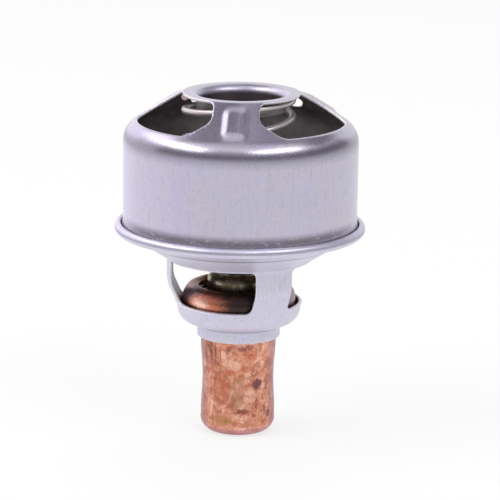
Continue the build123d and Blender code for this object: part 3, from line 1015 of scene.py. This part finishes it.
# %% [markdown]
# ## Light
# Polished metal shows what stands round it, so the room is part of the finish. A room picture could
# light it, but then nothing can be moved. Here a white world and a white floor give the pale steel, and
# everything else is added one by one. The world is white for the camera and in reflections, and a little
# dimmer as a light, so that pale steel keeps its tint.

# %% World
world_light = 0.7
world = bpy.data.worlds.new("world")
bpy.context.scene.world = world
sky = Web(world)
camera_ray, glossy_ray, clear_ray = (
    sky.node("LightPath", None, None, ray)
    for ray in ("Is Camera Ray", "Is Glossy Ray", "Is Transmission Ray"))
dim, white = (sky.node("Background", None, {"Color": (1, 1, 1, 1), "Strength": strength})
              for strength in (world_light, 1.0))
seen = camera_ray.most(glossy_ray).most(clear_ray)
both = sky.node("MixShader", None, {0: seen, 1: dim, 2: white})
sky.node("OutputWorld", None, {"Surface": both})
print("the world lights at", world_light, "and is seen at 1")

# %% [markdown]
# The floor is pale and matt. Most of its white is its own, so that the background stays white as
# in the photograph, and the rest is lit, which keeps the shadow of the object.

# %% Floor
floor_reach = 4.0
own_white = 0.72
corners = [(-floor_reach, -floor_reach), (floor_reach, -floor_reach),
           (floor_reach, floor_reach), (-floor_reach, floor_reach)]
floor_mesh = bpy.data.meshes.new("floor")
floor_mesh.from_pydata([(x, y, 0) for x, y in corners], [], [(0, 1, 2, 3)])
floor = bpy.data.objects.new("floor", floor_mesh)
bpy.context.scene.collection.objects.link(floor)
floor_paint = bpy.data.materials.new("floor_paint")
paint = Web(floor_paint)
matt = paint.node("BsdfDiffuse", None, {"Color": (0.9, 0.9, 0.9, 1)})
own = paint.node("Emission", None, {"Color": (1, 1, 1, 1), "Strength": 1.0})
both = paint.node("MixShader", None, {0: own_white, 1: matt, 2: own})
paint.node("OutputMaterial", None, {"Surface": both})
floor.data.materials.append(floor_paint)
print("floor", 2 * floor_reach, "m wide")

# %% [markdown]
# Two soft boxes, left and right of the camera, make the two white streaks on the shoulder. They
# are wide and low, because the streaks are. A third box behind the object lights the roof from
# above. The metal would show it as a third streak, so reflections don't see it.

# %% Soft boxes
aim = Vector((0, 0, rim_lift * MM))


def soft_box(name, azimuth, elevation, distance, width, height, power):
    """A lamp of metres and watts that looks at the object."""
    lamp = bpy.data.lights.new(name, "AREA")
    lamp.shape = "RECTANGLE"
    lamp.size, lamp.size_y, lamp.energy = width, height, power
    box = bpy.data.objects.new(name, lamp)
    box.location = aim + towards(azimuth, elevation) * distance
    box.rotation_euler = (aim - box.location).to_track_quat("-Z", "Y").to_euler()
    bpy.context.scene.collection.objects.link(box)
    print(f"{name}: {power} W from {azimuth} degrees, {elevation} degrees up")
    return box


soft_box("left_box", -74, 45, 0.8, 0.60, 0.16, 2.0)
soft_box("right_box", 43, 46, 0.8, 0.56, 0.14, 1.4)
soft_box("top_box", 180, 60, 0.9, 0.6, 0.4, 1.2).visible_glossy = False

# %% [markdown]
# The cards are what the metal mirrors: a band of grey cardboard that draws the dark band under
# the streaks, a grey ceiling for the roof, and a few white sheets beside the object and on the
# table. They throw no shadow and the camera can't see them. Each card is a row of strips, and the
# band is darkest in its middle, so that its reflection has soft borders.

# %% Cards
card_tint = (1, 0.96, 1.04)
card_distance = 0.7


def card(name, rows, levels):
    """A curved card of strips between rows of points, each strip with its own brightness."""
    mesh = bpy.data.meshes.new(name)
    wide = len(rows[0])
    quads = [(p, p + wide, p + wide + 1, p + 1) for r in range(len(rows) - 1)
             for p in range(r * wide, (r + 1) * wide - 1)]
    mesh.from_pydata([tuple(point) for row in rows for point in row], [], quads)
    mesh.polygons.foreach_set("material_index", [q // (wide - 1) for q in range(len(quads))])
    for r, level in enumerate(levels):
        paint = bpy.data.materials.new(f"{name}_paint_{r}")
        web = Web(paint)
        colour = tuple(share * level for share in card_tint) + (1,)
        grey = web.node("Emission", None, {"Color": colour, "Strength": 1.0})
        web.node("OutputMaterial", None, {"Surface": grey})
        mesh.materials.append(paint)
    piece = bpy.data.objects.new(name, mesh)
    bpy.context.scene.collection.objects.link(piece)
    piece.visible_camera = piece.visible_diffuse = piece.visible_shadow = False
    piece.visible_transmission = False
    print(f"{name}: {len(levels)} strips, brightness {levels}")


def sky_card(name, azimuths, elevations, levels):
    """A card of strips round the aim, with an elevation at each border."""
    card(name, [[aim + towards(azimuth, elevation) * card_distance for azimuth in azimuths]
                for elevation in elevations], levels)


sky_card("dark_band", range(-90, 131, 10), (1, 5, 9, 24, 30, 36), (0.65, 0.45, 0.27, 0.4, 0.65))
sky_card("front_flag", range(-30, 16, 5), (36, 41, 46), (0.5, 0.75))
sky_card("left_flash", range(-145, -94, 10), (30, 54), (2.0,))
sky_card("left_sheet", range(-175, -119, 10), (3, 29), (1.3,))
sky_card("right_flag", range(90, 151, 10), (32, 36, 54), (0.5, 0.2))
sky_card("front_ceiling", range(-100, 101, 10), (62, 68, 89), (0.9, 0.75))
sky_card("left_ceiling", range(-180, -99, 10), (50, 55, 89), (0.5, 0.26))
sky_card("middle_ceiling", range(155, 181, 5), (54, 60, 89), (0.7, 0.62))
sky_card("right_ceiling", range(95, 156, 10), (54, 60, 89), (0.5, 0.32))
above_table = Vector((0, 0, 0.001))
card("white_sheets", [[towards(azimuth) * reach + above_table for reach in (0.09, 0.2, 0.45)]
                      for azimuth in (-45, -65, -85, -120, -165)], (1.05, 1.1, 1.15, 1.2))

# %% [markdown]
# ## Close
# The colours are shown as they are.

# %% View
bpy.context.scene.view_settings.view_transform = "Standard"
